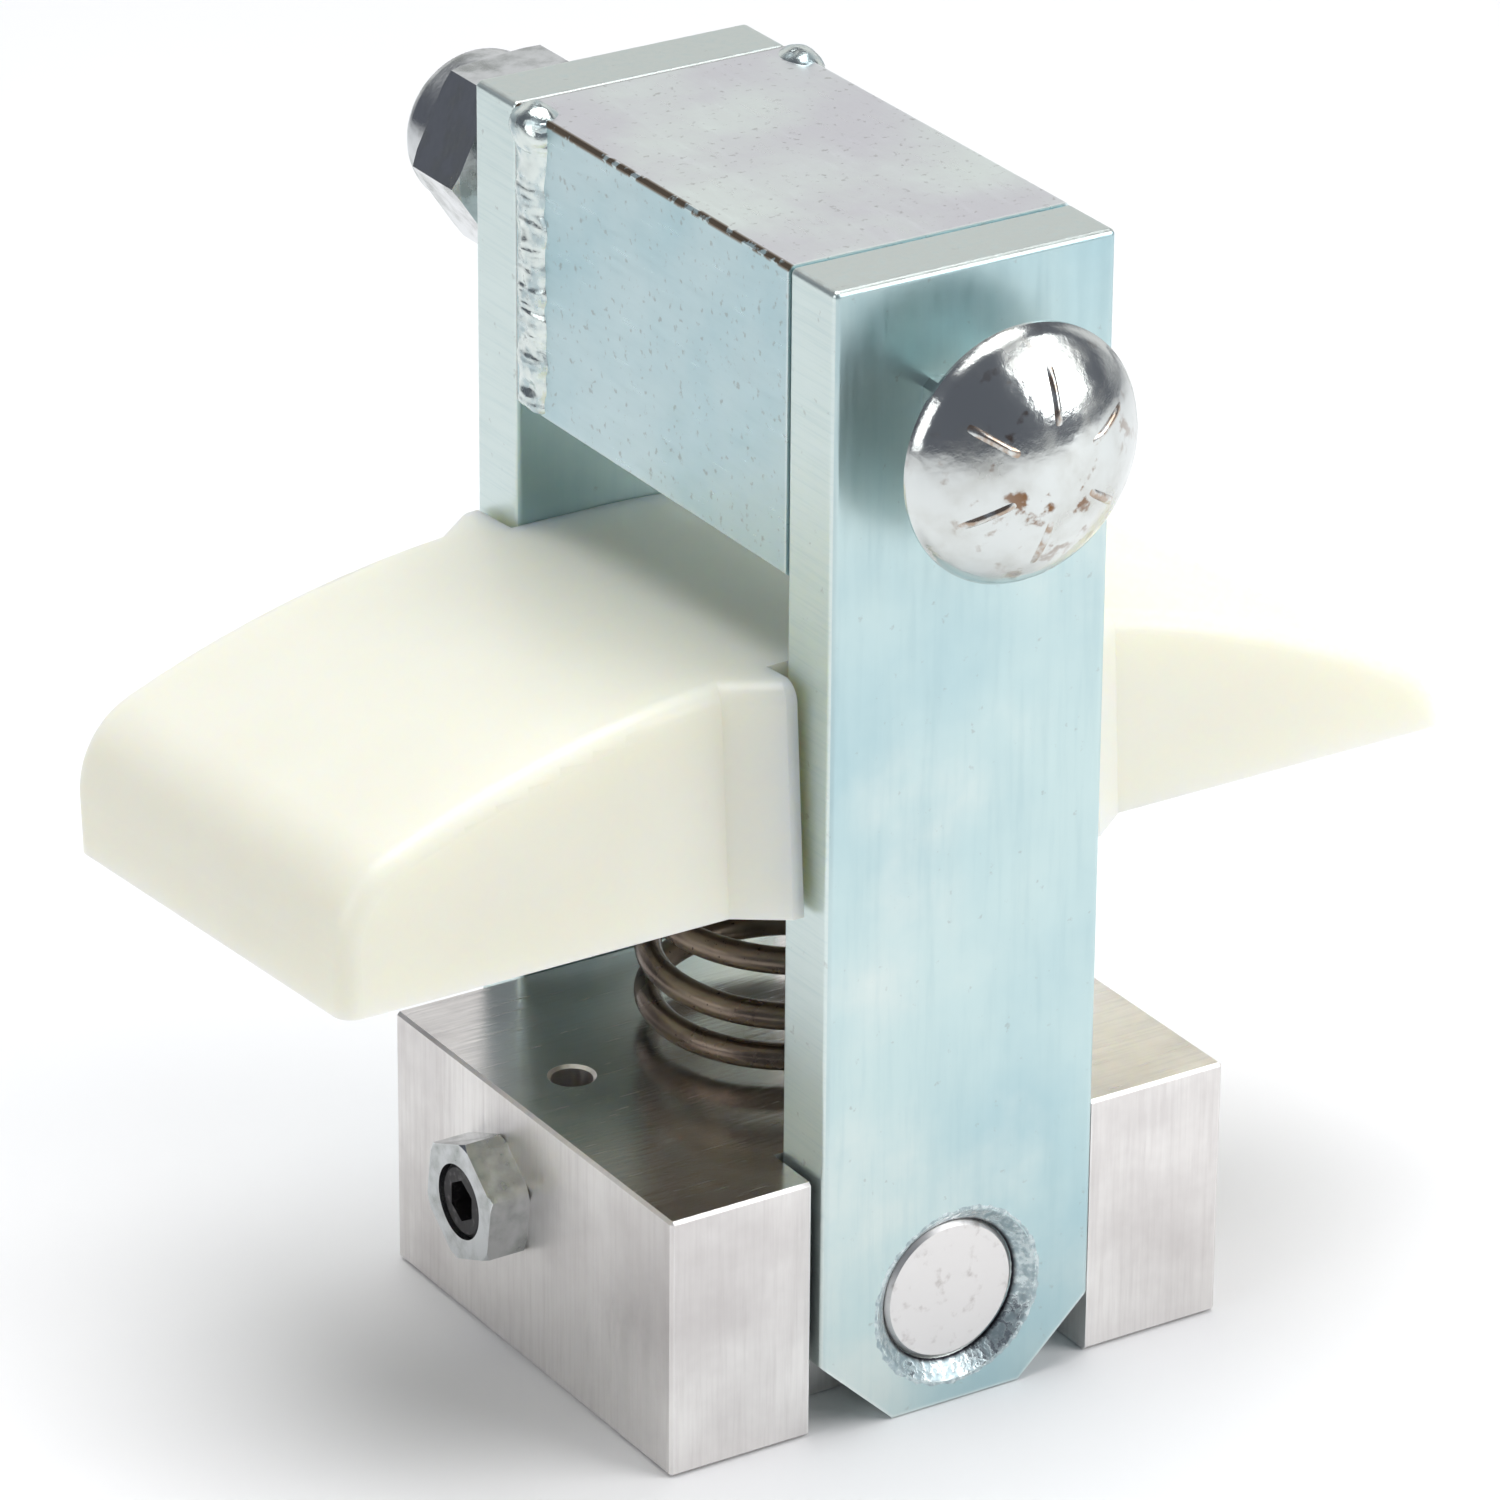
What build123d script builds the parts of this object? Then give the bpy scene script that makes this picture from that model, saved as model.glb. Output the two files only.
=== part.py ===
from build123d import *
import math
import os

# Sprung guide shoe on a pivoting two-arm frame. Millimetres, +Z up.
# Origin: underside of the base block, on the centre plane between the two arms.

# flat bar and block stock
bar_w = 38.1            # width of the arm flat bar and side of the square head block
bar_t = 9.5             # thickness of the arm flat bar
arm_h = 146.6           # height of the arms above the underside of the base
head_depth = 60.0       # length of the head block between the arms
arm_edge_r = 0.8        # rolled edge radius of the flat bar
arm_clip_x = 10.0       # bottom corner clip across the arm
arm_clip_z = 9.5        # bottom corner clip up the arm
clamp_gap = 0.2         # hairline gap between the head block and the bolted front arm

# base block
base_len = 78.2
base_depth = 64.0
base_h = 34.0
slot_depth = 8.2        # full-height slot in the front face that takes the front arm
slot_side_gap = 0.85    # gap each side of the arm in the slot
slot_wall_gap = 0.3     # gap between the arm and the back wall of the slot
base_edge = 0.4         # broken edges of the block

# cross pin
pin_d = 18.0
pin_len = 76.2
pin_z = 14.0
pin_base_gap = 0.05     # radial, pin held still in the base
pin_arm_gap = 0.08      # radial, running fit in the arms
hole_flare = 2.2        # hand-cut flare at the outer mouth of each arm hole

# pin lock: socket set screw with a jam nut
lock_d = 9.5
lock_y = 1.5
lock_z = 20.3
lock_hole_gap = 0.05
lock_clear = 0.3        # set screw tip to pin
jam_af = 14.3
jam_t = 5.5
socket_af = 4.8
socket_depth = 6.0

# small threaded hole in the top of the base
top_hole_d = 5.2
top_hole_depth = 8.0
top_hole_x = -29.6
top_hole_flare = 0.4

# clamp bolt and lock nut
bolt_d = 14.3
thread_root = 0.85      # thread depth of the bolt
bolt_drop = 20.0        # bolt axis below the tops of the arms
bolt_hole_gap = 0.3
head_d = 31.4
dome_h = 7.2
rim_t = 1.0
neck_len = 9.0
nut_stand = 16.0        # gap between the back arm and the lock nut
nut_af = 22.0
nut_hex_h = 10.4
nut_h = 17.2
nut_turn = -4.0         # turn of the nut about the bolt
collar_d = 20.2
insert_d = 17.6
insert_t = 3.4
bolt_past_nut = 2.5
thread_len = 44.0
mark_w = 1.0
mark_h = 0.3
mark_in = 5.6
mark_out = 12.2

# weld beads along the back edges of the head block
bead_w = 7.0
bead_h = 1.3
bead_len = 36.6

# shoe
shoe_left = 78.4        # reach of the blunt nose
shoe_right = 75.8       # reach of the tapered nose
shoe_side = 32.3        # half depth at the side faces
shoe_top = 29.2         # height of the crown
crown_left = -15.0      # the level part of the crown ends here on the blunt side
crown_right = -8.0      # and here on the tapered side
crown_left_r = 150.0
crown_right_r = 160.0
nose_r = 12.0
shoe_arris = 2.5        # rounding along the top edges, the ears and the blunt end's corners
shoe_slot_half = 20.0   # half width of the guide slots that take the arms
slot_floor_front = 30.6
slot_floor_back = 27.0
ear_out = 37.0
ear_foot = 27.3
ear_land = 1.5
shoe_tilt = -4.1        # the loose shoe leans back on its spring
shoe_y = 0.75
shoe_z = 65.3
pocket_d = 38.6
pocket_depth = 8.2

# compression spring
wire_d = 3.4
coil_d = 35.7
open_halves = 7         # open half turns between the two end turns
end_rises = (0.53, 0.77)  # rise of each end turn's two halves, in wire thicknesses
spring_gap = 0.02
spring_top = 71.6

front_in = -(head_depth / 2 + clamp_gap)
front_out = front_in - bar_t
back_in = head_depth / 2
back_out = back_in + bar_t
slot_half = bar_w / 2 + slot_side_gap
base_front = front_in + slot_wall_gap - slot_depth
bolt_z = arm_h - bolt_drop
pin_r = pin_d / 2


def box(x0, x1, y0, y1, z0, z1):
    """Box between two corners."""
    return Pos((x0 + x1) / 2, (y0 + y1) / 2, (z0 + z1) / 2) * Box(x1 - x0, y1 - y0, z1 - z0)


def rod_y(r, y0, y1, x=0.0, z=0.0):
    """Round bar along Y."""
    return Pos(x, (y0 + y1) / 2, z) * Rot(90, 0, 0) * Cylinder(r, y1 - y0)


def rod_x(r, x0, x1, y=0.0, z=0.0):
    """Round bar along X."""
    return Pos((x0 + x1) / 2, y, z) * Rot(0, 90, 0) * Cylinder(r, x1 - x0)


def hex_bar(af, length, r_cut):
    """Hexagon bar along +Z from the origin, its corners turned down at both ends."""
    bar = extrude(RegularPolygon(af / 2, 6, major_radius=False), length)
    profile = make_face(Polyline((0, 0), (r_cut, 0), (r_cut + 3, 1.6), (r_cut + 3, length - 1.6),
                                 (r_cut, length), (0, length), close=True))
    return bar & revolve(Rot(90, 0, 0) * profile, Axis.Z)


def base_block():
    """Sawn aluminium block with the front slot, the pin bore and the lock holes."""
    half = base_len / 2
    block = box(-half, half, base_front, base_front + base_depth, 0, base_h)
    block = chamfer(block.edges(), base_edge)
    block -= box(-slot_half, slot_half, base_front - 1, base_front + slot_depth, -1, base_h + 1)
    block -= rod_y(pin_r + pin_base_gap, base_front - 1, base_front + base_depth + 1, 0, pin_z)
    block -= rod_x(lock_d / 2 + lock_hole_gap, -half - 1, 0, lock_y, lock_z)
    mouth = top_hole_d / 2 + top_hole_flare
    hole = Pos(top_hole_x, 0, base_h - top_hole_depth / 2) * Cylinder(top_hole_d / 2, top_hole_depth)
    flare = Pos(top_hole_x, 0, base_h - top_hole_flare / 2) * Cone(top_hole_d / 2, mouth, top_hole_flare)
    return block - hole - flare


def cross_pin():
    """Plain turned pin, its ends lightly chamfered."""
    pin = rod_y(pin_r, -pin_len / 2, pin_len / 2, 0, pin_z)
    return chamfer(pin.edges().filter_by(GeomType.CIRCLE), 0.5)


def set_screw():
    """Socket set screw that bears on the side of the pin."""
    outer = -base_len / 2 - jam_t + 0.4
    drop = lock_z - lock_d / 2 - pin_z
    tip = -math.sqrt(pin_r ** 2 - drop ** 2) - lock_clear
    screw = rod_x(lock_d / 2, outer, tip, lock_y, lock_z)
    screw = chamfer(screw.edges().filter_by(GeomType.CIRCLE), 0.6)
    socket = extrude(RegularPolygon(socket_af / 2, 6, major_radius=False), socket_depth)
    return screw - Pos(outer, lock_y, lock_z) * Rot(0, 90, 0) * socket


def jam_nut():
    """Thin hexagon nut that locks the set screw."""
    nut = hex_bar(jam_af, jam_t, jam_af * 0.54)
    nut -= Pos(0, 0, jam_t / 2) * Cylinder(lock_d / 2 + 0.02, jam_t + 1)
    nut = Rot(0, 90, 0) * Rot(0, 0, 8) * nut
    return Pos(-base_len / 2 - jam_t, lock_y, lock_z) * nut


def arm(y0, y1, outer):
    """Flat-bar arm with clipped bottom corners, the flared pin hole and the bolt hole."""
    half = bar_w / 2
    outline = Polyline((-half, arm_clip_z), (-half, arm_h), (half, arm_h), (half, arm_clip_z),
                       (half - arm_clip_x, 0), (arm_clip_x - half, 0), close=True)
    bar = Pos(0, y1, 0) * extrude(Rot(90, 0, 0) * make_face(outline), y1 - y0)
    long_edges = bar.edges().filter_by(Axis.Z) + bar.edges().group_by(Axis.Z)[-1]
    bar = fillet(long_edges, arm_edge_r)
    bar -= rod_y(pin_r + pin_arm_gap, y0 - 1, y1 + 1, 0, pin_z)
    bar -= rod_y(bolt_d / 2 + bolt_hole_gap, y0 - 1, y1 + 1, 0, bolt_z)
    wide = pin_r + pin_arm_gap + hole_flare
    flare = Cone(wide, pin_r + pin_arm_gap, hole_flare)
    turn = 90 if outer < 0 else -90
    middle = (y0 + hole_flare / 2) if outer < 0 else (y1 - hole_flare / 2)
    return bar - Pos(0, middle, pin_z) * Rot(-turn, 0, 0) * flare


def top_block():
    """Square bar between the arms, drilled along its length for the clamp bolt."""
    block = box(-bar_w / 2, bar_w / 2, -head_depth / 2, head_depth / 2, arm_h - bar_w, arm_h)
    block = chamfer(block.edges().filter_by(Axis.Y), 0.4)
    return block - rod_y(bolt_d / 2 + bolt_hole_gap, -head_depth, head_depth, 0, bolt_z)


def weld_bead(side):
    """Flat weld bead over the joint between the head block and the back arm."""
    r = (bead_h ** 2 + (bead_w / 2) ** 2) / (2 * bead_h)
    face = side * bar_w / 2
    low = arm_h - bar_w + 0.9
    seam = back_in - bead_w / 2
    round_bar = Pos(face - side * (r - bead_h), seam, low + bead_len / 2) * Cylinder(r, bead_len)
    keep = box(min(face, face + side * 3), max(face, face + side * 3), 0, back_out, 0, arm_h)
    return round_bar & keep


def carriage_bolt():
    """Domed head with six radial grade marks, square neck and round shank."""
    ball = (dome_h ** 2 + (head_d / 2) ** 2) / (2 * dome_h)
    rim = front_out - neck_len
    head = rod_y(head_d / 2, rim - rim_t, rim, 0, bolt_z)
    middle = rim - rim_t - dome_h + ball
    keep = rod_y(head_d / 2, rim - rim_t - dome_h - 1, rim - rim_t, 0, bolt_z)
    head += (Pos(0, middle, bolt_z) * Sphere(ball)) & keep
    marks = []
    for k in range(6):
        bar = box(-mark_w / 2, mark_w / 2, rim - rim_t - dome_h - 1, rim - rim_t, mark_in, mark_out)
        marks.append(Pos(0, 0, bolt_z) * Rot(0, 60 * k, 0) * bar)
    shell = (Pos(0, middle, bolt_z) * Sphere(ball + mark_h)) & keep
    for mark in marks:
        head += shell & mark
    neck = box(-bolt_d / 2, bolt_d / 2, rim, front_out, bolt_z - bolt_d / 2, bolt_z + bolt_d / 2)
    end = back_out + nut_stand + nut_h + bolt_past_nut
    shank = rod_y(bolt_d / 2, front_out, end - thread_len, 0, bolt_z)
    thread = rod_y(bolt_d / 2 - thread_root, end - thread_len, end, 0, bolt_z)
    thread = chamfer(thread.edges().sort_by(Axis.Y)[-1], 1.0)
    return head + neck + shank + thread


def lock_nut():
    """Hexagon lock nut with a round collar rolled over a nylon ring."""
    body = hex_bar(nut_af, nut_hex_h, nut_af * 0.535)
    collar = Pos(0, 0, nut_hex_h + (nut_h - nut_hex_h) / 2) * Cylinder(collar_d / 2, nut_h - nut_hex_h)
    collar = fillet(collar.edges().sort_by(Axis.Z)[-1], 2.0)
    nut = body + collar
    nut -= Pos(0, 0, nut_h / 2) * Cylinder(bolt_d / 2 + 0.02, nut_h + 1)
    nut -= Pos(0, 0, nut_h - 0.8 - insert_t / 2) * Cylinder(insert_d / 2, insert_t)
    nut -= Pos(0, 0, nut_h - 0.4) * Cylinder(insert_d / 2 - 1.0, 1.0)
    nut = Rot(-90, 0, 0) * Rot(0, 0, nut_turn) * nut
    return Pos(0, back_out + nut_stand, bolt_z) * nut


def nut_insert():
    """Nylon ring in the collar of the lock nut."""
    y1 = back_out + nut_stand + nut_h - 0.8
    ring = rod_y(insert_d / 2 - 0.02, y1 - insert_t + 0.02, y1 - 0.02, 0, bolt_z)
    return ring - rod_y(bolt_d / 2 + 0.02, y1 - insert_t - 1, y1 + 1, 0, bolt_z)


def crown_arcs(end, reach, start, crown_r):
    """Crown and nose of one half of the shoe: (mid, end) points of the two arcs, in X and Z."""
    base_z = shoe_top - crown_r
    nose_x = reach - nose_r
    run = nose_x - end * start
    nose_z = base_z + math.sqrt((crown_r - nose_r) ** 2 - run ** 2)
    lean = math.atan2(run, nose_z - base_z)
    last = math.pi / 2 if nose_z > 0 else math.acos(-nose_z / nose_r)
    points = []
    for angle in (lean / 2, lean):
        points.append((start + end * crown_r * math.sin(angle), base_z + crown_r * math.cos(angle)))
    for angle in ((lean + last) / 2, last):
        points.append((end * (nose_x + nose_r * math.sin(angle)), nose_z + nose_r * math.cos(angle)))
    return points


def shoe():
    """Moulded shoe: crowned top, a blunt and a tapered nose, guide slots between wedge-shaped ears."""
    edges = [Line((crown_left, shoe_top), (crown_right, shoe_top))]
    feet = []
    halves = ((-1, shoe_left, crown_left, crown_left_r), (1, shoe_right, crown_right, crown_right_r))
    for end, reach, start, crown_r in halves:
        crown_mid, turn, nose_mid, tip = crown_arcs(end, reach, start, crown_r)
        edges.append(ThreePointArc((start, shoe_top), crown_mid, turn))
        edges.append(ThreePointArc(turn, nose_mid, tip))
        if tip[1] > 0.01:
            edges.append(Line(tip, (tip[0], 0)))
        feet.append((tip[0], 0))
    edges.append(Line(feet[0], feet[1]))
    long_body = Pos(0, ear_out + 5, 0) * extrude(Rot(90, 0, 0) * make_face(edges), 2 * ear_out + 10)
    land = shoe_slot_half + ear_land
    side = [(-shoe_left - 5, shoe_side), (-ear_foot, shoe_side), (-land, ear_out),
            (land, ear_out), (ear_foot, shoe_side), (shoe_right + 5, shoe_side)]
    plan = Polyline(*side, *[(x, -y) for x, y in reversed(side)], close=True)
    body = long_body & extrude(make_face(plan), shoe_top + 5)
    rim = []
    for edge in body.edges():
        room = edge.bounding_box()
        across = room.size.X < 0.01 and room.size.Z < 0.01
        upright = room.size.X < 0.01 and room.size.Y < 0.01
        corner = upright and edge.center().X < 1 - shoe_left
        if room.max.Z > 0.1 and not across and (corner or not upright):
            rim.append(edge)
    body = fillet(rim, shoe_arris)
    body -= box_cut(-ear_out - 5, -slot_floor_front)
    body -= box_cut(slot_floor_back, ear_out + 5)
    body -= Pos(0, 0, pocket_depth / 2) * Cylinder(pocket_d / 2, pocket_depth)
    return Pos(0, shoe_y, shoe_z) * Rot(shoe_tilt, 0, 0) * body


def box_cut(y0, y1):
    """One guide slot, full height."""
    return box(-shoe_slot_half, shoe_slot_half, y0, y1, -1, shoe_top + 1)


def spring():
    """Round-wire compression spring: tilted half rings, one flatter turn at each end."""
    r = (coil_d - wire_d) / 2
    z = base_h + spring_gap + wire_d / 2
    ends = [share * wire_d for share in end_rises]
    open_rise = (spring_top - wire_d / 2 - z - 2 * sum(ends)) / open_halves
    arcs = []
    side = 1
    for rise in ends + [open_rise] * open_halves + ends[::-1]:
        mid = (0, -side * math.hypot(r, rise / 2), z + rise / 2)
        arcs.append(ThreePointArc((side * r, 0, z), mid, (-side * r, 0, z + rise)))
        z += rise
        side = -side
    path = Wire(arcs)
    section = Plane(origin=path @ 0, z_dir=path % 0) * Circle(wire_d / 2)
    return sweep(section, path=path)


os.makedirs("parts", exist_ok=True)
pieces = {
    "base_block": base_block(),
    "cross_pin": cross_pin(),
    "set_screw": set_screw(),
    "jam_nut": jam_nut(),
    "front_arm": arm(front_out, front_in, -1),
    "back_arm": arm(back_in, back_out, 1),
    "top_block": top_block(),
    "weld_left": weld_bead(-1),
    "weld_right": weld_bead(1),
    "carriage_bolt": carriage_bolt(),
    "lock_nut": lock_nut(),
    "nut_insert": nut_insert(),
    "shoe": shoe(),
    "spring": spring(),
}
for name, piece in pieces.items():
    export_step(piece, f"parts/{name}.step")
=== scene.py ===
import math

import bpy
from mathutils import Matrix, Vector, noise


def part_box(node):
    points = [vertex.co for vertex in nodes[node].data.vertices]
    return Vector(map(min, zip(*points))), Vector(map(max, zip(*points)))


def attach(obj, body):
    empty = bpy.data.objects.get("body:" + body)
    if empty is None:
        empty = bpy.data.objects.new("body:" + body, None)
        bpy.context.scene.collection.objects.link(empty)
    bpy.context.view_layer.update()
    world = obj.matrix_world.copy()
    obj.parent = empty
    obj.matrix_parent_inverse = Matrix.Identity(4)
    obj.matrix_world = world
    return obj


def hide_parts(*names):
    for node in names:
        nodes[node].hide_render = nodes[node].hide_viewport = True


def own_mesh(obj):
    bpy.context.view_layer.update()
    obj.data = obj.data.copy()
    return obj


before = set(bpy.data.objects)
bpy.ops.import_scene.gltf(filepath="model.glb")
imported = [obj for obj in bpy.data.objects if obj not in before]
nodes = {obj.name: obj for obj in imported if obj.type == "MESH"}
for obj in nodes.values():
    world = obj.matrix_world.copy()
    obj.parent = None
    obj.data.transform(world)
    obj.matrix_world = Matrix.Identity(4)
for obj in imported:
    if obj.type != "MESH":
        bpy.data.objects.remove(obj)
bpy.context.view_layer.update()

# ---------------------------------------------------------------- base block
# A block sawn from aluminium bar and fly-cut, with a slot milled down its front face for the
# front arm, a reamed pin bore, a tapped hole in each used face and lightly broken edges.

ALUMINIUM_LIGHT = (0.86, 0.84, 0.82, 1)
ALUMINIUM_DULL = (0.62, 0.59, 0.58, 1)
ALUMINIUM_EDGE = (0.95, 0.94, 0.93, 1)
SIDE_ROUGHNESS = 0.42
TOP_ROUGHNESS = 0.17


def put(tree, kind, feed=None, **own):
    """Adds a shader node: own settings by name, and what feeds its sockets."""
    node = tree.nodes.new("ShaderNode" + kind)
    for key, value in own.items():
        setattr(node, key, value)
    for key, value in (feed or {}).items():
        if isinstance(value, bpy.types.NodeSocket):
            tree.links.new(value, node.inputs[key])
        else:
            node.inputs[key].default_value = value
    return node


def new_group(name, inputs, outputs):
    """A shader node group with named sockets."""
    tree = bpy.data.node_groups.new(name, "ShaderNodeTree")
    for label, kind, value in inputs:
        socket = tree.interface.new_socket(name=label, in_out="INPUT", socket_type="NodeSocket" + kind)
        socket.default_value = value
    for label, kind in outputs:
        tree.interface.new_socket(name=label, in_out="OUTPUT", socket_type="NodeSocket" + kind)
    return tree, tree.nodes.new("NodeGroupInput").outputs, tree.nodes.new("NodeGroupOutput").inputs


def grain_group():
    """Fine lines drawn out along one direction: saw, mill and rolling marks."""
    sockets = [("Stretch", "Vector", (1, 1, 1)), ("Fineness", "Float", 1.0)]
    tree, given, out = new_group("drawn_grain", sockets, [("Lines", "Float")])
    place = put(tree, "TexCoord").outputs["Object"]
    drawn = put(tree, "VectorMath", {0: place, 1: given["Stretch"]}, operation="MULTIPLY")
    lines = put(tree, "TexNoise", {"Vector": drawn.outputs[0], "Scale": given["Fineness"], "Detail": 4.0,
                                   "Roughness": 0.62})
    tree.links.new(lines.outputs["Fac"], out["Lines"])
    return tree


def patches_group():
    """Soft patches of one finish in another, from thin to solid between two levels."""
    sockets = [("Size", "Float", 50.0), ("From", "Float", 0.4), ("To", "Float", 0.6),
               ("Shift", "Vector", (0, 0, 0))]
    tree, given, out = new_group("patches", sockets, [("Mask", "Float")])
    place = put(tree, "TexCoord").outputs["Object"]
    moved = put(tree, "VectorMath", {0: place, 1: given["Shift"]}, operation="ADD")
    cloud = put(tree, "TexNoise", {"Vector": moved.outputs[0], "Scale": given["Size"], "Detail": 5.0,
                                   "Roughness": 0.55})
    level = put(tree, "MapRange", {0: cloud.outputs["Fac"], 1: given["From"], 2: given["To"]},
                interpolation_type="SMOOTHSTEP")
    tree.links.new(level.outputs[0], out["Mask"])
    return tree


def edge_group():
    """Where the surface bends sharply, so that worn edges can be brighter."""
    sockets = [("Width", "Float", 0.0006), ("Gain", "Float", 3.0)]
    tree, given, out = new_group("worn_edges", sockets, [("Mask", "Float")])
    rounded = put(tree, "Bevel", {"Radius": given["Width"]}, samples=4)
    flat = put(tree, "NewGeometry").outputs["Normal"]
    match = put(tree, "VectorMath", {0: rounded.outputs[0], 1: flat}, operation="DOT_PRODUCT")
    bend = put(tree, "Math", {0: 1.0, 1: match.outputs["Value"]}, operation="SUBTRACT")
    gain = put(tree, "Math", {0: bend.outputs[0], 1: given["Gain"]}, operation="MULTIPLY", use_clamp=True)
    tree.links.new(gain.outputs[0], out["Mask"])
    return tree


drawn_grain, patches, worn_edges = grain_group(), patches_group(), edge_group()


def new_finish(name, metallic, roughness):
    """A material with its Principled shader ready for colour, roughness and bump."""
    material = bpy.data.materials.new(name)
    material.use_nodes = True
    shader = material.node_tree.nodes["Principled BSDF"]
    shader.inputs["Metallic"].default_value = metallic
    shader.inputs["Roughness"].default_value = roughness
    return material, material.node_tree, shader


def grain(tree, stretch):
    return put(tree, "Group", {"Stretch": stretch}, node_tree=drawn_grain).outputs["Lines"]


def patch(tree, size, low, high, shift=(0, 0, 0)):
    feed = {"Size": size, "From": low, "To": high, "Shift": shift}
    return put(tree, "Group", feed, node_tree=patches).outputs["Mask"]


def edges(tree, width, gain):
    return put(tree, "Group", {"Width": width, "Gain": gain}, node_tree=worn_edges).outputs["Mask"]


def blend_colour(tree, share, first, second):
    return put(tree, "Mix", {0: share, 6: first, 7: second}, data_type="RGBA").outputs[2]


def span(tree, value, low, high, start=0.0, end=1.0):
    """Maps a 0 to 1 value onto low to high."""
    return put(tree, "MapRange", {0: value, 1: start, 2: end, 3: low, 4: high}).outputs[0]


def bump(tree, shader, height, strength, distance):
    lifted = put(tree, "Bump", {"Height": height, "Strength": strength, "Distance": distance})
    tree.links.new(lifted.outputs[0], shader.inputs["Normal"])


def facing(tree, axis, least):
    """1 on faces that look along an axis of the object, 0 elsewhere."""
    normal = put(tree, "SeparateXYZ", {0: put(tree, "NewGeometry").outputs["Normal"]})
    return put(tree, "Math", {0: normal.outputs[axis], 1: least}, operation="GREATER_THAN").outputs[0]


def dress(node, material):
    """Gives a CAD node its finish."""
    for held in nodes[node].material_slots:
        held.material = material


def sawn_aluminium():
    material, tree, shader = new_finish("sawn_aluminium", 1.0, SIDE_ROUGHNESS)
    top = facing(tree, "Z", 0.9)
    upright = grain(tree, (1500, 1500, 70))
    along = grain(tree, (90, 1900, 60))
    lines = put(tree, "Mix", {0: top, 2: upright, 3: along}, data_type="FLOAT").outputs[0]
    dull = patch(tree, 38, 0.35, 0.75)
    body = blend_colour(tree, dull, ALUMINIUM_LIGHT, ALUMINIUM_DULL)
    marked = blend_colour(tree, span(tree, lines, 0.0, 0.35, 0.45, 0.75), body, ALUMINIUM_DULL)
    worn = blend_colour(tree, edges(tree, 0.0005, 2.5), marked, ALUMINIUM_EDGE)
    tree.links.new(worn, shader.inputs["Base Color"])
    side = span(tree, lines, SIDE_ROUGHNESS - 0.1, SIDE_ROUGHNESS + 0.12, 0.3, 0.7)
    upper = span(tree, lines, TOP_ROUGHNESS - 0.05, TOP_ROUGHNESS + 0.12, 0.3, 0.7)
    rough = put(tree, "Mix", {0: top, 2: side, 3: upper}, data_type="FLOAT").outputs[0]
    tree.links.new(rough, shader.inputs["Roughness"])
    bump(tree, shader, lines, 0.35, 0.00006)
    return material


dress("base_block", sawn_aluminium())

# ---------------------------------------------------------------- cross pin
# Bright turned steel bar, cut to the width of the block and lightly chamfered, the pivot of
# both arms. Its sawn end faces carry small dents and stains.

PIN_STEEL = (0.80, 0.78, 0.77, 1)
PIN_STAIN = (0.50, 0.46, 0.44, 1)


def turned_steel():
    material, tree, shader = new_finish("turned_steel", 1.0, 0.4)
    stains = patch(tree, 420, 0.55, 0.78)
    tree.links.new(blend_colour(tree, stains, PIN_STEEL, PIN_STAIN), shader.inputs["Base Color"])
    scored = grain(tree, (500, 2600, 900))
    tree.links.new(span(tree, scored, 0.34, 0.5), shader.inputs["Roughness"])
    bump(tree, shader, scored, 0.3, 0.00005)
    return material


dress("cross_pin", turned_steel())

# ---------------------------------------------------------------- set screw and jam nut
# A black socket set screw clamps the pin from the left end of the block, held by a thin
# hexagon nut in blue zinc plate, its corners turned down in the making.

BLACK_OXIDE = (0.022, 0.020, 0.022, 1)
OXIDE_RUBBED = (0.09, 0.085, 0.085, 1)
ZINC = (0.62, 0.64, 0.65, 1)
ZINC_DULL = (0.36, 0.38, 0.37, 1)


def black_oxide():
    material, tree, shader = new_finish("black_oxide", 0.6, 0.4)
    rubbed = patch(tree, 900, 0.5, 0.8)
    worn = blend_colour(tree, rubbed, BLACK_OXIDE, OXIDE_RUBBED)
    tree.links.new(worn, shader.inputs["Base Color"])
    tree.links.new(span(tree, rubbed, 0.45, 0.28), shader.inputs["Roughness"])
    return material


def nut_zinc():
    material, tree, shader = new_finish("nut_zinc", 1.0, 0.2)
    dull = patch(tree, 260, 0.38, 0.72)
    worn = blend_colour(tree, edges(tree, 0.0004, 2.0), blend_colour(tree, dull, ZINC, ZINC_DULL), ZINC)
    tree.links.new(worn, shader.inputs["Base Color"])
    tree.links.new(span(tree, dull, 0.12, 0.3), shader.inputs["Roughness"])
    bump(tree, shader, patch(tree, 900, 0.3, 0.7), 0.2, 0.00005)
    return material


zinc_on_nuts = nut_zinc()
dress("set_screw", black_oxide())
dress("jam_nut", zinc_on_nuts)

# ---------------------------------------------------------------- arms
# Two lengths of zinc-plated flat bar, pale blue from the plating's clear passivate, with the
# bottom corners clipped. The outer edge of each pin hole is opened by hand, rough and bright.

BAR_BLUE = (0.54, 0.68, 0.68, 1)
BAR_TEAL = (0.40, 0.57, 0.61, 1)
BAR_WARM = (0.70, 0.76, 0.73, 1)
BAR_EDGE = (0.86, 0.90, 0.88, 1)
BAR_SIDE = (0.66, 0.76, 0.74, 1)
BAR_TOP = (0.56, 0.61, 0.58, 1)
BAR_SCUFF = (0.30, 0.31, 0.30, 1)
BURR_STEEL = (0.62, 0.70, 0.71, 1)
BURR_DULL = (0.36, 0.45, 0.48, 1)
# The near-black colour below is painted shade for the thin gap round the pin.
PAINTED_GAP_SHADE = (0.02, 0.02, 0.025, 1)
pin_low, pin_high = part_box("cross_pin")
PIN_Z = (pin_low[2] + pin_high[2]) / 2
PIN_RADIUS = (pin_high[2] - pin_low[2]) / 2


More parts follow.
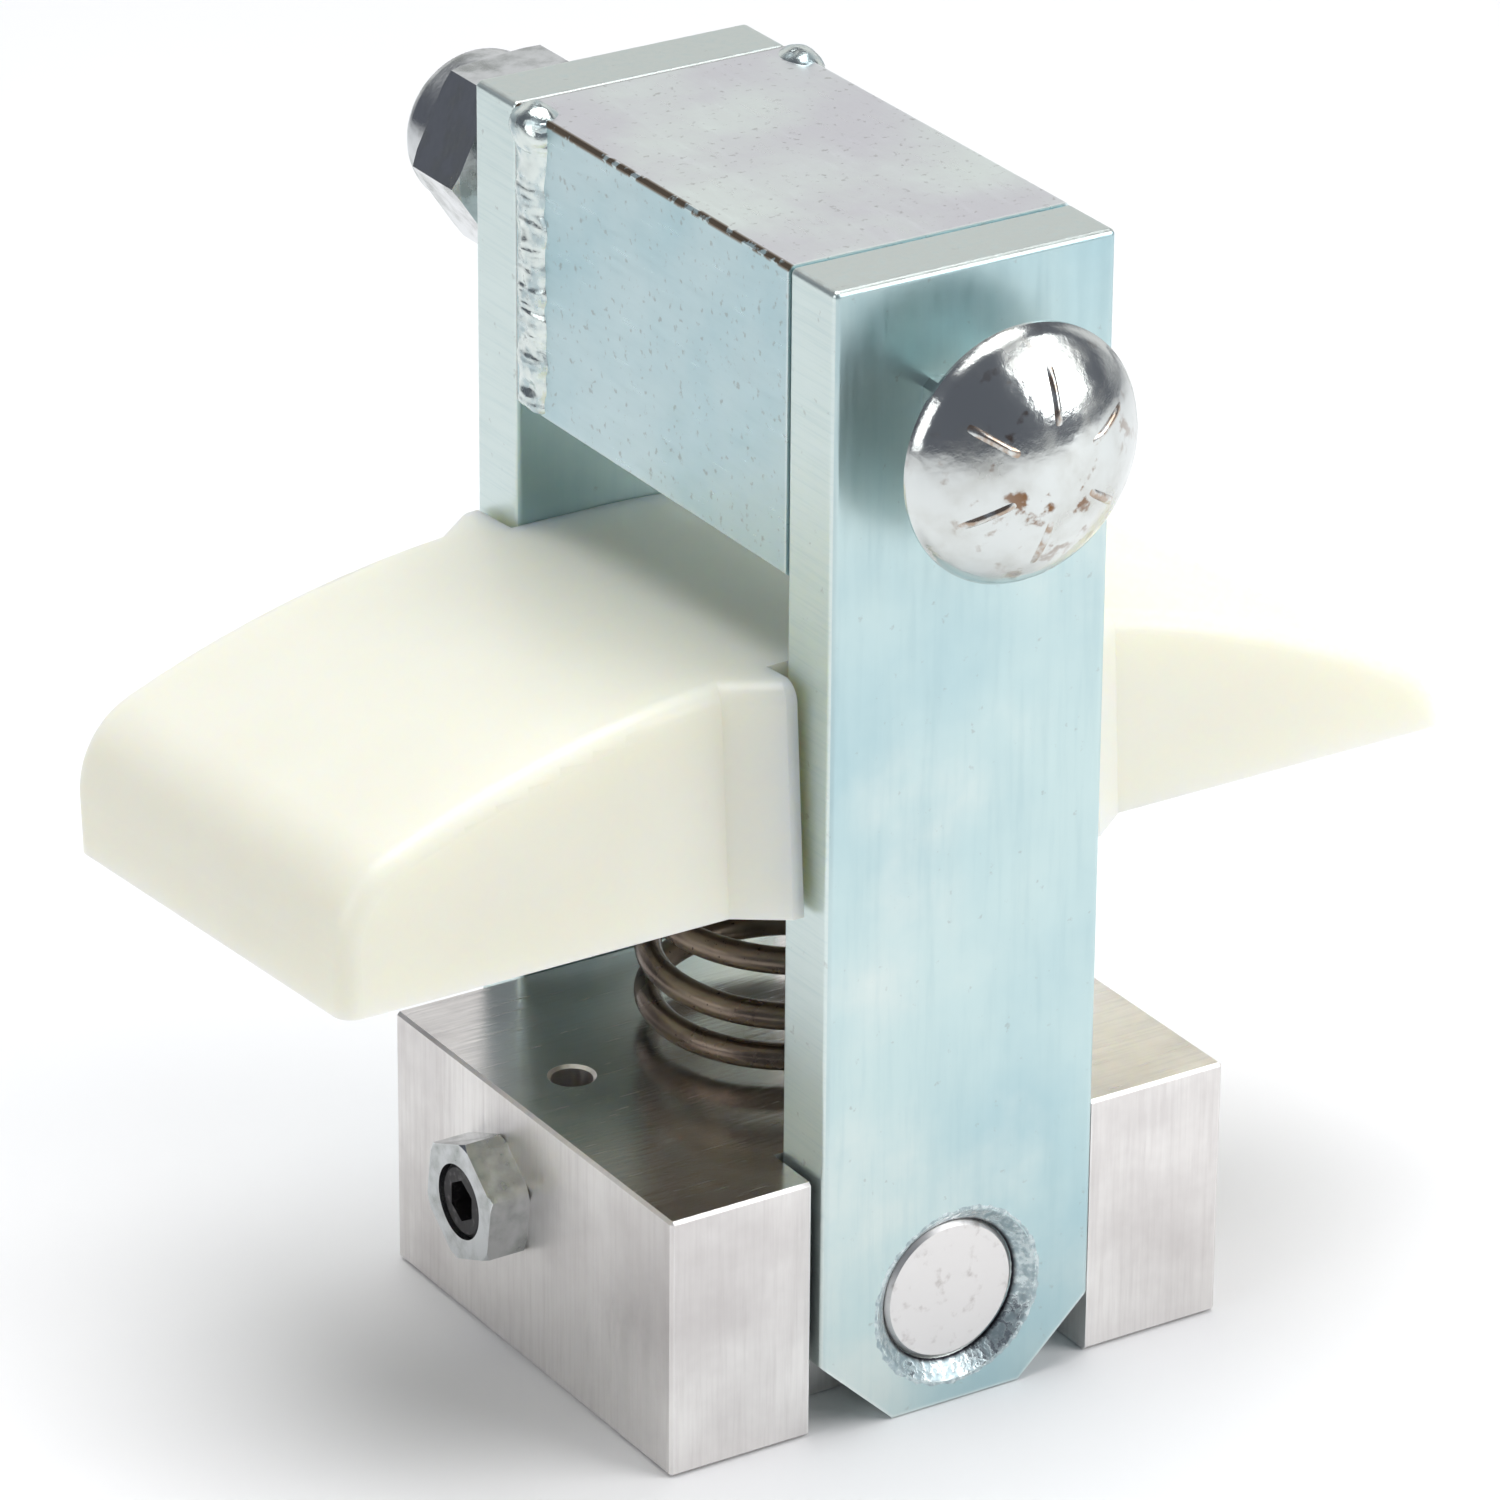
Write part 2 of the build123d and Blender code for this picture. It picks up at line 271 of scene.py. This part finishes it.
def zinc_bar():
    material, tree, shader = new_finish("blue_zinc_bar", 0.92, 0.36)
    clouds = blend_colour(tree, patch(tree, 22, 0.35, 0.7), BAR_BLUE, BAR_TEAL)
    warmed = blend_colour(tree, patch(tree, 30, 0.45, 0.75, (0.3, 0.1, 0.2)), clouds, BAR_WARM)
    across = put(tree, "SeparateXYZ", {0: put(tree, "NewGeometry").outputs["Normal"]}).outputs["X"]
    sideways = put(tree, "Math", {0: across}, operation="ABSOLUTE").outputs[0]
    side = put(tree, "Math", {0: sideways, 1: 0.7}, operation="GREATER_THAN").outputs[0]
    lines = put(tree, "Mix", {0: side, 2: grain(tree, (900, 900, 60)), 3: grain(tree, (70, 70, 2600))},
                data_type="FLOAT").outputs[0]
    capped = blend_colour(tree, facing(tree, "Z", 0.6), warmed, BAR_TOP)
    faced = blend_colour(tree, side, capped, BAR_SIDE)
    lined = blend_colour(tree, span(tree, lines, 0.0, 0.25, 0.5, 0.8), faced, BAR_TEAL)
    scuffs = patch(tree, 700, 0.66, 0.74, (0.5, 0.2, 0.9))
    scuffed = blend_colour(tree, span(tree, scuffs, 0.0, 0.35), lined, BAR_SCUFF)
    worn = blend_colour(tree, edges(tree, 0.0008, 3.5), scuffed, BAR_EDGE)
    tree.links.new(worn, shader.inputs["Base Color"])
    tree.links.new(span(tree, lines, 0.28, 0.42, 0.3, 0.7), shader.inputs["Roughness"])
    bump(tree, shader, lines, 0.25, 0.00006)
    return material


def rough_zinc():
    """Torn plating round a pin hole, with painted shade: a black ring in the thin gap at the pin."""
    material, tree, shader = new_finish("torn_bright_steel", 1.0, 0.3)
    torn = patch(tree, 1100, 0.35, 0.65)
    place = put(tree, "TexCoord").outputs["Object"]
    flat = put(tree, "VectorMath", {0: place, 1: (1, 0, 1)}, operation="MULTIPLY").outputs[0]
    from_pin = put(tree, "VectorMath", {0: flat, 1: (0, 0, PIN_Z)}, operation="DISTANCE")
    # Painted shade: the colour turns black just outside the pin's radius, where the gap would lie in
    # shadow.
    gap_shade = span(tree, from_pin.outputs["Value"], 1.0, 0.0, PIN_RADIUS + 0.0003, PIN_RADIUS + 0.0007)
    bright = blend_colour(tree, torn, BURR_STEEL, BURR_DULL)
    tree.links.new(blend_colour(tree, gap_shade, bright, PAINTED_GAP_SHADE), shader.inputs["Base Color"])
    tree.links.new(span(tree, torn, 0.2, 0.45), shader.inputs["Roughness"])
    bump(tree, shader, torn, 0.5, 0.0001)
    return material


def new_piece(name, points, faces, material, body):
    """A mesh piece in the part's own frame, riding on a body."""
    mesh = bpy.data.meshes.new(name)
    mesh.from_pydata([Vector(p) for p in points], [], faces)
    mesh.validate()
    mesh.polygons.foreach_set("use_smooth", [True] * len(mesh.polygons))
    mesh.materials.append(material)
    mesh.update()
    piece = bpy.data.objects.new(name, mesh)
    bpy.context.scene.collection.objects.link(piece)
    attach(piece, body)
    return piece


def grid_faces(rows, columns, wrap=False):
    """Quads between rows of points, closed round each row when wrapped."""
    faces = []
    for i in range(rows - 1):
        for j in range(columns if wrap else columns - 1):
            k = (j + 1) % columns
            faces.append((i * columns + j, i * columns + k, (i + 1) * columns + k, (i + 1) * columns + j))
    return faces


def hole_rim(name, outer, outward, seed):
    """The hand-opened mouth of a pin hole: a ragged, faceted bevel with a thin raised lip."""
    inner_r, mouth_r = PIN_RADIUS + 0.00012, PIN_RADIUS + 0.0023
    depth, lip = 0.0021, 0.0006
    around, across = 180, 9
    points = []
    for j in range(across):
        share = j / (across - 1)
        for i in range(around):
            turn = 2 * math.pi * i / around
            way = Vector((math.cos(turn), seed, math.sin(turn)))
            ragged = noise.noise(way * 9) * 0.00035 + noise.noise(way * 31) * 0.00018
            r = inner_r + (mouth_r + lip - inner_r) * share + ragged * share
            climb = min(1.0, (r - inner_r) / (mouth_r - inner_r))
            rough_side = 0.25 + 0.75 * max(0.0, math.cos(turn + 0.6))
            tear = 0.00004 + 0.00020 * rough_side * abs(noise.noise(Vector((turn * 14, r * 3000, seed))))
            if j == across - 1:
                tear = -0.00005
            y = outer - outward * depth * (1 - climb) + outward * tear
            points.append((r * math.cos(turn), y, PIN_Z + r * math.sin(turn)))
    faces = grid_faces(across, around, wrap=True)
    if outward > 0:
        faces = [face[::-1] for face in faces]
    return new_piece(name, points, faces, torn_steel, "frame")


arm_zinc = zinc_bar()
torn_steel = rough_zinc()
dress("front_arm", arm_zinc)
dress("back_arm", arm_zinc)
front_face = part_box("front_arm")[0][1]
back_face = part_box("back_arm")[1][1]
hole_rim("front_hole_rim", front_face, -1, 3.1)
hole_rim("back_hole_rim", back_face, 1, 7.7)

# ---------------------------------------------------------------- head block
# A short length of square steel bar in the same plating, lilac grey on top and speckled on its
# sides. It butts against the back arm with a dark line at the joint.

BLOCK_LILAC = (0.62, 0.62, 0.65, 1)
BLOCK_BLUE = (0.52, 0.65, 0.67, 1)
JOINT_DARK = (0.10, 0.09, 0.08, 1)
RAW_LIP = (0.16, 0.125, 0.09, 1)
BLOCK_SPECK = (0.26, 0.25, 0.23, 1)
block_low, block_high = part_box("top_block")


def block_zinc():
    material, tree, shader = new_finish("head_block_zinc", 0.92, 0.34)
    top = facing(tree, "Z", 0.9)
    body = blend_colour(tree, top, BLOCK_BLUE, BLOCK_LILAC)
    clouds = blend_colour(tree, patch(tree, 26, 0.4, 0.7), body, BAR_TEAL)
    light = blend_colour(tree, top, clouds, blend_colour(tree, patch(tree, 40, 0.4, 0.7), body, BAR_WARM))
    specks = patch(tree, 900, 0.6, 0.7, (0.2, 0.7, 0.4))
    specked = blend_colour(tree, span(tree, specks, 0.0, 0.45), light, BLOCK_SPECK)
    place = put(tree, "TexCoord").outputs["Object"]
    depth = put(tree, "SeparateXYZ", {0: place}).outputs["Y"]
    joint = span(tree, depth, 0.0, 1.0, block_high[1] - 0.0004, block_high[1] - 0.0001)
    joined = blend_colour(tree, joint, specked, JOINT_DARK)
    worn = blend_colour(tree, edges(tree, 0.0008, 3.0), joined, BAR_EDGE)
    diagonal = math.sqrt(0.5)
    corner = (block_high[2] - block_low[0]) * diagonal
    cut = put(tree, "VectorMath", {0: place, 1: (-diagonal, 0, diagonal)}, operation="DOT_PRODUCT")
    lip = span(tree, cut.outputs["Value"], 0.0, 1.0, corner - 0.00058, corner - 0.00038)
    broken = put(tree, "Math", {0: lip, 1: patch(tree, 500, 0.38, 0.46)}, operation="MULTIPLY").outputs[0]
    tree.links.new(blend_colour(tree, broken, worn, RAW_LIP), shader.inputs["Base Color"])
    lines = grain(tree, (1100, 120, 1100))
    tree.links.new(span(tree, lines, 0.26, 0.42, 0.3, 0.7), shader.inputs["Roughness"])
    bump(tree, shader, specks, 0.25, 0.00006)
    return material


dress("top_block", block_zinc())

# ---------------------------------------------------------------- weld beads
# Short runs of weld over the upright joints of the head block and the back arm: overlapping
# ripples, a round blob where the arc started at the top and a small crater at the bottom.

WELD_SILVER = (0.68, 0.74, 0.71, 1)
WELD_DULL = (0.44, 0.54, 0.56, 1)
BEAD_LOW = 0.1088
BEAD_HIGH = 0.1468
BEAD_HALF = 0.0040
BEAD_RISE = 0.0011
SEAM_IN = 0.0037
START_IN = 0.0022
START_SIZE = Vector((0.0031, 0.0040, 0.0031))
CRATER_UP = 0.0030


def weld_metal():
    material, tree, shader = new_finish("weld_metal", 1.0, 0.26)
    dull = patch(tree, 420, 0.4, 0.7)
    tree.links.new(blend_colour(tree, dull, WELD_SILVER, WELD_DULL), shader.inputs["Base Color"])
    tree.links.new(span(tree, dull, 0.16, 0.36), shader.inputs["Roughness"])
    bump(tree, shader, patch(tree, 800, 0.3, 0.7), 0.35, 0.0001)
    return material


def weld_run(name, side, seam, face, seed):
    """One bead: rows across the joint, stacked up it."""
    rows, columns = 150, 21
    points = []
    for i in range(rows):
        t = i / (rows - 1)
        z = BEAD_LOW + (BEAD_HIGH - BEAD_LOW) * t
        sway = 0.0005 * noise.noise(Vector((seed, z * 260, 0)))
        blob = math.exp(-((z - BEAD_HIGH + START_IN) / 0.0024) ** 2)
        crater = math.exp(-((z - BEAD_LOW - CRATER_UP) / 0.0011) ** 2)
        ends = min(1.0, (t * (1 - t) * 60) ** 0.5)
        uneven = 0.82 + 0.18 * noise.noise(Vector((seed, z * 420, 5)))
        half = (BEAD_HALF * uneven + 0.0006 * blob) * (0.35 + 0.65 * ends)
        ripple_gap = 2.3 + 0.5 * math.sin(z * 310)
        for j in range(columns):
            s = 2 * j / (columns - 1) - 1
            y = seam + sway + s * half
            arch = max(0.0, 1 - s * s) ** 0.75
            ripple = 0.00009 * math.sin((z * 1000 + 1.1 * s * s) * 2 * math.pi / ripple_gap)
            lump = 0.00042 * noise.noise(Vector((seed * 3, z * 430, s * 1.8)))
            bead = BEAD_RISE * (1 - 0.55 * crater * (1 - s * s))
            height = (bead + ripple + lump + 0.0010 * blob) * arch * ends
            points.append((face + side * (height - 0.00008), y, z))
    faces = grid_faces(rows, columns)
    if side < 0:
        faces = [face_ring[::-1] for face_ring in faces]
    return new_piece(name, points, faces, bead_metal, "frame")


def weld_blob(name, side, seam, face, seed):
    """The rounded start of a bead, which stands over the top corner."""
    rings, around = 14, 28
    centre = Vector((face - side * 0.0009, seam, BEAD_HIGH - START_IN))
    points = []
    for i in range(rings):
        up = math.pi * i / (rings - 1)
        for j in range(around):
            turn = 2 * math.pi * j / around
            way = Vector((math.sin(up) * math.cos(turn), math.sin(up) * math.sin(turn), math.cos(up)))
            r = 1 + 0.12 * noise.noise(way * 1.7 + Vector((seed, 0, 0)))
            points.append(centre + way * START_SIZE * r)
    return new_piece(name, points, grid_faces(rings, around, wrap=True), bead_metal, "frame")


bead_metal = weld_metal()
seam_y = block_high[1] - SEAM_IN
for side, face, label in ((-1, block_low[0], "left"), (1, block_high[0], "right")):
    run = weld_run(f"weld_run_{label}", side, seam_y, face, 4.2 + side)
    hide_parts(f"weld_{label}")
    weld_blob(f"weld_start_{label}", side, seam_y, face, 2.0 + side)

# ---------------------------------------------------------------- clamp bolt and lock nut
# A zinc-plated carriage bolt with a domed head, six raised grade marks, a square neck that
# stands clear of the front arm, and a rolled thread that carries a nylon-ring lock nut.

HEAD_RADIUS = 0.0157
DOME_HEIGHT = 0.0072
RIM = 0.0010
NECK = 0.0090
SHANK_RADIUS = 0.00715
THREAD_PITCH = 0.00212
THREAD_LENGTH = 0.044
RUST = (0.20, 0.10, 0.045, 1)
HEAD_ZINC = (0.66, 0.69, 0.68, 1)
HEAD_DULL = (0.47, 0.47, 0.43, 1)
MARK_BROWN = (0.42, 0.33, 0.26, 1)
MARK_INNER = 0.0056
MARK_LENGTH = 0.0066
MARK_HALF_WIDTH = 0.00056
MARK_RISE = 0.00042
MARK_TURN = 4
THREAD_DEPTH = 0.0012
DOME_RINGS = 27
bolt_low, bolt_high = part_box("carriage_bolt")
BOLT_Z = (bolt_low[2] + bolt_high[2]) / 2


def head_zinc():
    material, tree, shader = new_finish("bolt_head_zinc", 1.0, 0.14)
    place = put(tree, "TexCoord").outputs["Object"]
    from_crown = put(tree, "VectorMath", {0: place, 1: (0, bolt_low[1], BOLT_Z)}, operation="DISTANCE")
    near = span(tree, from_crown.outputs["Value"], 1.0, 0.15, 0.004, 0.017)
    spots = patch(tree, 330, 0.58, 0.68)
    rust = put(tree, "Math", {0: spots, 1: near}, operation="MULTIPLY").outputs[0]
    dull = patch(tree, 160, 0.4, 0.75, (0.1, 0.4, 0.2))
    plated = blend_colour(tree, span(tree, dull, 0.0, 0.6), HEAD_ZINC, HEAD_DULL)
    tree.links.new(blend_colour(tree, rust, plated, RUST), shader.inputs["Base Color"])
    tree.links.new(span(tree, dull, 0.15, 0.32), shader.inputs["Roughness"])
    bump(tree, shader, patch(tree, 420, 0.2, 0.8), 0.35, 0.00010)
    return material


def dome_depth(r):
    """How far the dome has fallen back from its crown at a radius."""
    ball = (DOME_HEIGHT ** 2 + HEAD_RADIUS ** 2) / (2 * DOME_HEIGHT)
    return ball - math.sqrt(max(ball ** 2 - r ** 2, 0.0))


def bolt_mesh():
    """Head, neck, shank and thread as closed shells of one piece."""
    points, faces = [], []
    crown = bolt_low[1]

    def shell(rows, columns, ring):
        start = len(points)
        for i in range(rows):
            points.extend(ring(i))
        for face_ring in grid_faces(rows, columns, wrap=True):
            faces.append(tuple(start + k for k in face_ring[::-1]))
        faces.append(tuple(start + k for k in range(columns)))
        faces.append(tuple(start + (rows - 1) * columns + k for k in reversed(range(columns))))

    around = 144
    radii = [0.00035 + (HEAD_RADIUS - 0.0009) * k / (DOME_RINGS - 1) for k in range(DOME_RINGS)]
    profile = [(r, dome_depth(r)) for r in radii]
    under = DOME_HEIGHT + RIM
    profile += [(HEAD_RADIUS - 0.0004, DOME_HEIGHT - 0.0002), (HEAD_RADIUS, DOME_HEIGHT + 0.0003),
                (HEAD_RADIUS, under - 0.0003), (HEAD_RADIUS - 0.0004, under), (0.0075, under)]

    def head_ring(i):
        r, depth = profile[i]
        ring = []
        for j in range(around):
            turn = 2 * math.pi * j / around
            wave = 0.00006 * noise.noise(Vector((math.cos(turn) * r * 300, math.sin(turn) * r * 300, 2)))
            y = crown + depth + (wave if i < DOME_RINGS else 0.0)
            ring.append((r * math.cos(turn), y, BOLT_Z + r * math.sin(turn)))
        return ring

    shell(len(profile), around, head_ring)
    rim_back = crown + under
    half = SHANK_RADIUS
    ease = 0.0009
    outline = [(half, -half + ease), (half, half - ease), (half - ease, half), (-half + ease, half),
               (-half, half - ease), (-half, -half + ease), (-half + ease, -half), (half - ease, -half)]

    def neck_ring(i):
        y = (rim_back - 0.0002, rim_back + NECK)[i]
        return [(x, y, BOLT_Z + z) for x, z in outline]

    shell(2, 8, neck_ring)
    tip = bolt_high[1]
    thread_from = tip - THREAD_LENGTH

    def shank_ring(i):
        y = (rim_back + NECK, thread_from, thread_from + 0.0004)[i]
        r = (SHANK_RADIUS, SHANK_RADIUS, SHANK_RADIUS - 0.0006)[i]
        return [(r * math.cos(2 * math.pi * j / 48), y, BOLT_Z + r * math.sin(2 * math.pi * j / 48))
                for j in range(48)]

    shell(3, 48, shank_ring)
    steps = int(THREAD_LENGTH / THREAD_PITCH * 8)

    def thread_ring(i):
        y = thread_from + THREAD_LENGTH * i / (steps - 1)
        taper = min(1.0, (tip - y) / 0.0016) * 0.0011
        ring = []
        for j in range(48):
            turn = 2 * math.pi * j / 48
            climb = (y / THREAD_PITCH - turn / (2 * math.pi)) % 1
            ridge = 1 - abs(2 * climb - 1)
            r = SHANK_RADIUS - THREAD_DEPTH * (1 - min(1.0, ridge * 1.25)) - (0.0011 - taper)
            ring.append((r * math.cos(turn), y, BOLT_Z + r * math.sin(turn)))
        return ring

    shell(steps, 48, thread_ring)
    return points, faces


def grade_mark(turn):
    """One raised line on the dome, a low rounded ridge drawn out along a radius."""
    points = []
    rows, columns = 13, 7
    out = Vector((math.sin(turn), 0, math.cos(turn)))
    across = Vector((math.cos(turn), 0, -math.sin(turn)))
    for i in range(rows):
        r = MARK_INNER + MARK_LENGTH * i / (rows - 1)
        fade = min(1.0, 4 * i / (rows - 1), 4 * (1 - i / (rows - 1)))
        for j in range(columns):
            s = 2 * j / (columns - 1) - 1
            rise = MARK_RISE * (1 - s * s) * fade - 0.00005
            spot = out * r + across * s * MARK_HALF_WIDTH
            reach = math.hypot(spot.x, spot.z)
            points.append((spot.x, bolt_low[1] + dome_depth(reach) - rise, BOLT_Z + spot.z))
    return points, grid_faces(rows, columns)


def rubbed_marks():
    material, tree, shader = new_finish("rubbed_grade_marks", 1.0, 0.25)
    brown = patch(tree, 700, 0.35, 0.6)
    tree.links.new(blend_colour(tree, brown, HEAD_ZINC, MARK_BROWN), shader.inputs["Base Color"])
    return material


plated_head = head_zinc()
bolt = new_piece("bolt", *bolt_mesh(), plated_head, "frame")
bolt.data.set_sharp_from_angle(angle=math.radians(35))
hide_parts("carriage_bolt")
mark_points, mark_faces = [], []
for k in range(6):
    ridge_points, ridge_faces = grade_mark(math.radians(60 * k + MARK_TURN))
    mark_faces += [tuple(len(mark_points) + c for c in face_ring) for face_ring in ridge_faces]
    mark_points += ridge_points
new_piece("bolt_grade_marks", mark_points, mark_faces, rubbed_marks(), "frame")

RING_LIGHT = (0.62, 0.64, 0.60, 1)
RING_DULL = (0.50, 0.52, 0.50, 1)


def ring_nylon():
    material, tree, shader = new_finish("ring_nylon", 0.0, 0.45)
    tone = patch(tree, 600, 0.3, 0.7)
    tree.links.new(blend_colour(tree, tone, RING_LIGHT, RING_DULL), shader.inputs["Base Color"])
    return material


dress("lock_nut", zinc_on_nuts)
dress("nut_insert", ring_nylon())

# ---------------------------------------------------------------- spring
# A round-wire compression spring, tempered to a dark brown, with a flatter turn at each end.
# It stands on the block and carries the shoe, and nothing fixes it to either.

SPRING_WIRE = (0.16, 0.125, 0.10, 1)
SPRING_RUB_AND_HIGHLIGHT = (0.27, 0.22, 0.165, 1)
WIRE_PIT = (0.04, 0.03, 0.03, 1)
WIRE_RADIUS = 0.0017
TURNS = 5.5
END_RISE = 0.0034
EXTRA_RISE = 0.0038
EASE_FROM = 0.55
EASE_TURNS = 0.6
spring_low, spring_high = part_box("spring")


def spring_steel():
    material, tree, shader = new_finish("tempered_wire", 0.9, 0.32)
    rubbed = patch(tree, 120, 0.35, 0.8)
    pitted = patch(tree, 1600, 0.64, 0.72, (0.4, 0.2, 0.1))
    # The lighter colour in these patches is partly rubbed wire and partly a painted highlight.
    wire = blend_colour(tree, rubbed, SPRING_WIRE, SPRING_RUB_AND_HIGHLIGHT)
    tree.links.new(blend_colour(tree, pitted, wire, WIRE_PIT), shader.inputs["Base Color"])
    tree.links.new(span(tree, rubbed, 0.26, 0.42), shader.inputs["Roughness"])
    bump(tree, shader, patch(tree, 1500, 0.3, 0.7), 0.2, 0.00004)
    return material


def spring_mesh():
    """Wire swept along the coil's line, flatter end turns easing into open ones."""
    steps, sides = int(TURNS * 60), 20
    coil_r = (spring_high[0] - spring_low[0]) / 2 - WIRE_RADIUS
    rises = []
    for k in range(steps):
        turn = (k + 0.5) / steps * TURNS
        near = min(turn, TURNS - turn)
        rises.append(END_RISE + EXTRA_RISE * min(max((near - EASE_FROM) / EASE_TURNS, 0.0), 1.0))
    room = spring_high[2] - spring_low[2] - 2 * WIRE_RADIUS
    scale = room / (sum(rises) * TURNS / steps)
    line, z = [], spring_low[2] + WIRE_RADIUS
    for k in range(steps + 1):
        turn = -2 * math.pi * TURNS * k / steps
        line.append(Vector((coil_r * math.cos(turn), coil_r * math.sin(turn), z)))
        if k < steps:
            z += rises[k] * scale * TURNS / steps
    points = []
    for k, spot in enumerate(line):
        ahead = (line[min(k + 1, steps)] - line[max(k - 1, 0)]).normalized()
        out = Vector((spot.x, spot.y, 0)).normalized()
        up = ahead.cross(out).normalized()
        for j in range(sides):
            turn = 2 * math.pi * j / sides
            points.append(spot + (out * math.cos(turn) + up * math.sin(turn)) * WIRE_RADIUS)
    faces = grid_faces(steps + 1, sides, wrap=True)
    faces.append(tuple(range(sides))[::-1])
    faces.append(tuple(steps * sides + k for k in range(sides)))
    return points, faces


coil = new_piece("coil_spring", *spring_mesh(), spring_steel(), "frame")
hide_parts("spring")
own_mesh(coil)

# ---------------------------------------------------------------- shoe
# The wearing part: a moulded block of natural ivory nylon, crowned along its top, with one
# blunt nose and one tapered, and ears either side of the slots that the arms run in.

NYLON = (0.84, 0.835, 0.73, 1)
NYLON_DEEP = (0.81, 0.80, 0.68, 1)
NYLON_SCUFF = (0.55, 0.50, 0.40, 1)


def natural_nylon():
    material, tree, shader = new_finish("natural_nylon", 0.0, 0.34)
    shader.inputs["Subsurface Weight"].default_value = 0.75
    shader.inputs["Subsurface Radius"].default_value = (0.9, 0.75, 0.45)
    shader.inputs["Subsurface Scale"].default_value = 0.011
    shader.inputs["IOR"].default_value = 1.53
    tone = blend_colour(tree, patch(tree, 18, 0.3, 0.75), NYLON, NYLON_DEEP)
    scuffs = patch(tree, 900, 0.70, 0.78)
    marked = blend_colour(tree, span(tree, scuffs, 0.0, 0.12), tone, NYLON_SCUFF)
    tree.links.new(marked, shader.inputs["Base Color"])
    tree.links.new(span(tree, patch(tree, 60, 0.3, 0.7), 0.30, 0.42), shader.inputs["Roughness"])
    bump(tree, shader, patch(tree, 500, 0.2, 0.8), 0.10, 0.00010)
    return material


dress("shoe", natural_nylon())

# ---------------------------------------------------------------- floor, light and camera
# A wide pale floor under the block, a large soft light to the right and overhead, a weaker
# one to the left, and a long-lens camera from the front left, well above the part.

FLOOR_LIGHT = (0.93, 0.93, 0.93, 1)
FLOOR_DULL = (0.91, 0.91, 0.91, 1)
FLOOR_REACH = 4.0
FLOOR_DROP = 0.0002
SKY_DARK = (0.16, 0.17, 0.20, 1)
SKY_LIGHT = (1.0, 1.0, 1.0, 1)
AIM = Vector((0, 0, 0.07))

def pale_floor():
    material, tree, shader = new_finish("pale_floor", 0.0, 0.7)
    tone = blend_colour(tree, patch(tree, 3, 0.3, 0.7), FLOOR_LIGHT, FLOOR_DULL)
    tree.links.new(tone, shader.inputs["Base Color"])
    return material


def new_floor():
    mesh = bpy.data.meshes.new("floor")
    corners = ((-1, -1), (1, -1), (1, 1), (-1, 1))
    points = [(FLOOR_REACH * x, FLOOR_REACH * y, -FLOOR_DROP) for x, y in corners]
    mesh.from_pydata(points, [], [(0, 1, 2, 3)])
    mesh.materials.append(pale_floor())
    floor = bpy.data.objects.new("floor", mesh)
    bpy.context.scene.collection.objects.link(floor)


def soft_light(name, place, size, power):
    lamp = bpy.data.lights.new(name, "AREA")
    lamp.shape = "SQUARE"
    lamp.size = size
    lamp.energy = power
    held = bpy.data.objects.new(name, lamp)
    held.location = place
    held.rotation_euler = (AIM - Vector(place)).to_track_quat("-Z", "Y").to_euler()
    bpy.context.scene.collection.objects.link(held)


def new_camera():
    azimuth, elevation, roll = math.radians(-32.45), math.radians(25.15), math.radians(0.46)
    back = Vector((math.sin(azimuth) * math.cos(elevation), -math.cos(azimuth) * math.cos(elevation),
                   math.sin(elevation)))
    right = (-back).cross(Vector((0, 0, 1))).normalized()
    up = right.cross(-back)
    across = right * math.cos(roll) + up * math.sin(roll)
    above = up * math.cos(roll) - right * math.sin(roll)
    turn = Matrix((across, above, back)).transposed().to_4x4()
    lens = bpy.data.cameras.new("camera")
    lens.lens = 200.9
    lens.sensor_width = 36.0
    lens.shift_x = -0.0040
    lens.shift_y = -0.0013
    lens.clip_start = 0.05
    camera = bpy.data.objects.new("camera", lens)
    camera.matrix_world = Matrix.Translation((-0.4904, -0.7653, 0.4969)) @ turn
    bpy.context.scene.collection.objects.link(camera)
    bpy.context.scene.camera = camera


def studio_sky():
    world = bpy.data.worlds.new("studio")
    world.use_nodes = True
    tree = world.node_tree
    sky = tree.nodes["Background"]
    way = put(tree, "TexCoord").outputs["Generated"]
    beyond = put(tree, "VectorMath", {0: way, 1: (0.54, 0.84, 0.0)}, operation="DOT_PRODUCT")
    height = put(tree, "SeparateXYZ", {0: way}).outputs["Z"]
    wall = span(tree, beyond.outputs["Value"], 0.0, 1.0, 0.42, 0.75)
    low = span(tree, height, 1.0, 0.0, 0.5, 0.65)
    lit = put(tree, "Math", {0: wall, 1: low}, operation="MULTIPLY").outputs[0]
    tree.links.new(blend_colour(tree, lit, SKY_DARK, SKY_LIGHT), sky.inputs["Color"])
    sky.inputs["Strength"].default_value = 0.85
    bpy.context.scene.world = world


new_floor()
soft_light("key_light", (0.75, -0.85, 0.75), 0.9, 10)
soft_light("top_light", (0.05, 0.15, 1.25), 1.0, 14)
soft_light("left_light", (-1.1, -0.1, 0.5), 0.7, 3.0)
studio_sky()
new_camera()
bpy.context.scene.view_settings.view_transform = "Standard"
